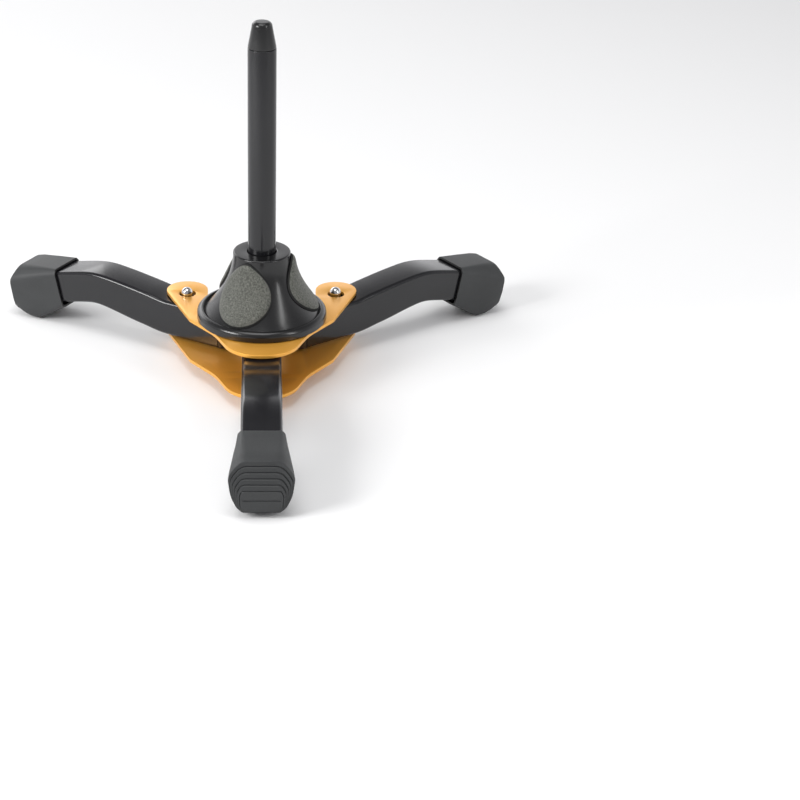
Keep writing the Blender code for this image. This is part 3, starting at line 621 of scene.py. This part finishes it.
button_profile = bow((0.0, button_top - button_radius), button_radius, 90, 0, 18)
button_profile += [(button_radius, collar_top), (collar_radius, collar_top)]
button_profile += [(collar_radius, collar_bottom), (stem_radius, collar_bottom)]
button_profile += [(stem_radius, stem_bottom), (0.0, stem_bottom)]

for side in ("left", "right"):
    node = f"{side}_snap_button"
    button = turned(button_profile, centre_of(node), 72)
    round_over(button, 0.25, 2, 60.0)
    finished(f"{side}_button_dome", button, [chrome], f"{side}_button", node)
    refinish(f"{side}_button_cup", nylon)
    # The share of the coil that stays when the button is fully down.
    node, press = f"{side}_button_spring", joints[f"{side}_button_press"]
    name, coil = f"{side}_coil_spring", copy_of(node)
    spring = finished(name, coil, [zinc], leg_bodies[side], node)
    foot, top = (Vector(corner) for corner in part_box(node))
    keep = 1.0 - max(press["range_m"]) / (top.z - foot.z)
    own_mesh(spring)


# Rivets and washers -----------------------------------------------------------
# Domed solid rivets, zinc plated. One is each folding leg's hinge and two hold
# the front leg; flat washers pack every leg to the gap between the plates.

rivet_shank, rivet_crown, rivet_shoulder = 2.5, 1.6, 2.2

for name in ("left_pivot", "right_pivot", "front_inner", "front_outer"):
    node = f"{name}_rivet"
    low, high = (corner[2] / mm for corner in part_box(node))
    head, foot = high - rivet_crown, low + rivet_crown
    profile = [(0.0, high), *bow((rivet_shoulder, head), rivet_crown, 90, 0, 9)]
    profile += [(rivet_shank, head), (rivet_shank, foot)]
    profile += [*bow((rivet_shoulder, foot), rivet_crown, 0, -90, 9), (0.0, low)]
    rivet = turned(profile, centre_of(node), 64)
    finished(f"{name}_domed_rivet", rivet, [zinc], "root", node)
    for washer in ("lower_washer", "upper_washer"):
        refinish(f"{name}_{washer}", zinc)


# Centre bolt ------------------------------------------------------------------
# A hexagon bolt comes up through a washer, both plates, a spacer sleeve and the
# cone, and screws into the threaded insert in the foot of the peg.

bolt = copy_of("centre_bolt")
round_over(bolt, 0.5, 3, 40.0)
finished("hexagon_bolt", bolt, [zinc], "root", "centre_bolt")
for node in ("centre_washer", "spacer_sleeve", "peg_threaded_insert"):
    ring = copy_of(node)
    round_over(ring, 0.15, 2, 60.0)
    finished(f"{node}_turned", ring, [zinc], "root", node)


# Bell cone --------------------------------------------------------------------
# One moulding in black ABS that centres the bell: a concave cone over a shallow
# dish with a raised rim. Hollow below, with a column for the bolt and the peg.

cone_top, cone_top_radius, cone_edge = 77.0, 16.3, 0.9
flange_radius, flange_top, cone_bottom = 37.0, 42.2, 36.5
rim_width, rim_round, rim_slope, rim_lip, foot_edge = 3.6, 3.0, 0.5, 0.6, 0.4
dish_depth, cone_wall, cone_flare = 1.5, 2.0, 2.0
dish_radius, dish_height = flange_radius - rim_width - rim_slope, flange_top - dish_depth
socket_radius, socket_floor, socket_edge, column_radius, bolt_hole = 8.3, 50.0, 0.7, 10.3, 4.3
side_steps, hollow_from = 48, 9


def cone_radius(z):
    """The cone's outer radius along its concave side."""
    t = min(max((z - dish_height) / (cone_top - cone_edge - dish_height), 0.0), 1.0)
    return cone_top_radius + (dish_radius - cone_top_radius) * (1 - t) ** cone_flare


# From the socket's mouth outwards and down to the flange's edge.
side_top, rim_inner = cone_top - cone_edge, flange_radius - rim_width
fall = (side_top - dish_height) / side_steps
heights = [side_top - fall * i for i in range(1, side_steps + 1)]
profile = bow((socket_radius + socket_edge, cone_top - socket_edge), socket_edge, 180, 90, 6)
profile += bow((cone_top_radius - cone_edge, side_top), cone_edge, 90, 0, 10)
profile += [(cone_radius(z), z) for z in heights]
profile += bow((rim_inner + rim_lip, flange_top - rim_lip), rim_lip, 165, 90, 5)
profile += bow((flange_radius - rim_round, flange_top - rim_round), rim_round, 90, 0, 14)
profile += [(flange_radius, cone_bottom + foot_edge), (flange_radius - foot_edge, cone_bottom)]
# Then up inside, down the column and back up through the bolt's hole and the socket.
skirt, ceiling = flange_radius - cone_wall, dish_height - cone_wall
inner = [(cone_radius(z) - cone_wall, z - cone_wall / 2) for z in heights[-2:hollow_from - 1:-1]]
profile += [(skirt, cone_bottom), (skirt, ceiling), (dish_radius - cone_wall, ceiling), *inner]
profile += [(column_radius, inner[-1][1] + cone_wall), (column_radius, cone_bottom)]
profile += [(bolt_hole, cone_bottom), (bolt_hole, socket_floor)]
profile += [(socket_radius, socket_floor), profile[0]]

abs_black = Finish("black_abs", IOR=1.5)
mould = abs_black.noise(1700.0, 2.0)
flow = abs_black.noise(18.0, 4.0)
abs_black.set(
    Base_Color=abs_black.mottle(18.0, 4.0, (0.006, 0.006, 0.0065), (0.010, 0.010, 0.0105)),
    Roughness=abs_black.between(flow, 0.20, 0.26) + abs_black.between(mould, -0.015, 0.015),
)
abs_black.bump(mould, 0.012 * mm, 0.25)

cone = turned(profile, centre_of("bell_cone"), 160)
finished("padded_bell_cone", cone, [abs_black], "root", "bell_cone", crease=40.0)


# Pads -------------------------------------------------------------------------
# Three die-cut pieces of dense grey foam, shaped like a drop and glued round the
# cone, which keep the bell's lacquer off the plastic. The sides are painted near black as painted
# shade.

pad_angles = {"front_pad": 241.0, "right_pad": 1.0, "back_pad": 121.0}
pad_top, pad_bottom, pad_half_width, pad_thickness = 75.1, 41.3, 17.8, 2.4
pad_gap, pad_crown, pad_edge = 0.36, 0.1, 12
# A pad narrows towards its top; its sides begin this far out from its middle.
pad_taper, pad_belly, side_from = 0.36, 0.12, 0.955

foam = Finish("grey_speckled_foam", Sheen_Weight=0.15)
cells = foam.noise(1500.0, 2.0)
place = foam.node("TexCoord", output=object_place)
specks = foam.node("TexVoronoi", {"feature": "F1"}, {"Vector": place, "Scale": 1500.0})
tone = foam.mottle(1100.0, 3.0, (0.055, 0.057, 0.049), (0.150, 0.153, 0.134))
dark = foam.between(specks, 1.0, 0.0, 0.14, 0.40)
foam.set(Base_Color=foam.mix(dark * 0.85, tone, (0.022, 0.023, 0.020)), Roughness=0.95)
foam.bump(foam.between(cells, 0.0, 1.0) - dark * 0.6, 0.12 * mm, 0.7)

# The pads' sides are painted near black as painted shade.
painted_shade_side = Finish("foam_side_painted_shade", Roughness=0.9)
painted_shade_side.set(Base_Color=painted_shade_side.mottle(900.0, 3.0, (0.006, 0.006, 0.006), (0.014, 0.014, 0.013)))

for node, angle in pad_angles.items():
    pad = bmesh.new()
    bmesh.ops.create_uvsphere(pad, u_segments=128, v_segments=72, radius=1.0)
    # Faces at the rim and on the back take the near-black painted shade.
    for face in pad.faces:
        middle = face.calc_center_median()
        face.material_index = int(math.hypot(middle.x, middle.y) > side_from or middle.z < 0)
    for vert in pad.verts:
        sideways, along, out = vert.co
        distance = math.hypot(sideways, along)
        z = (pad_top + pad_bottom) / 2 + (pad_top - pad_bottom) / 2 * along
        half_width = pad_half_width * (1.0 - pad_taper * along - pad_belly * along * along)
        around = math.radians(angle) + sideways * half_width / (cone_radius(z) + pad_thickness)
        depth = pad_gap
        if out > 0:
            depth += pad_thickness * (1 - distance**pad_edge) - pad_crown * distance**2
        slope = cone_radius(z + 0.5) - cone_radius(z - 0.5) if z < pad_top - 0.6 else -0.1
        outward = Vector((1.0, -slope)).normalized() * depth
        r = cone_radius(z) + outward.x
        vert.co = peg_foot + Vector((r * math.cos(around), r * math.sin(around), z + outward.y)) * mm
    piece = finished(f"foam_{node}", pad, [foam, painted_shade_side], "root", node, crease=50.0)


# Peg --------------------------------------------------------------------------
# Powder coated steel tube that stands in the cone's socket, closed at the top by
# a tapered moulded tip that guides the instrument's bell over it.

peg_radius, peg_wall, peg_edge, peg_bottom, peg_top = 7.9, 1.2, 0.4, 50.3, 196.2
peg_inner = peg_radius - peg_wall
tip_top, tip_radius, tip_nose, tip_gap = 210.9, 5.6, 2.4, 0.3
tip_foot, tip_edge = peg_radius - 0.2, (peg_radius - 0.15, peg_top + 0.9)
spigot_radius, spigot_bottom = 6.4, peg_top - 12.0

profile = bow((peg_radius - peg_edge, peg_top - peg_edge), peg_edge, 90, 0, 4)
profile += [(peg_radius, peg_bottom), (peg_inner, peg_bottom), (peg_inner, peg_top), profile[0]]
peg = turned(profile, peg_foot, 128)
finished("peg_steel_tube", peg, [powder], "root", "peg_tube")

profile = [(0.0, tip_top), *bow((tip_radius - tip_nose, tip_top - tip_nose), tip_nose, 90, 0, 10)]
profile += [tip_edge, (tip_foot, peg_top + tip_gap), (spigot_radius, peg_top + tip_gap)]
profile += [(spigot_radius, spigot_bottom), (0.0, spigot_bottom)]
tip = turned(profile, peg_foot, 128)
finished("peg_tapered_tip", tip, [abs_black], "root", "peg_tip")
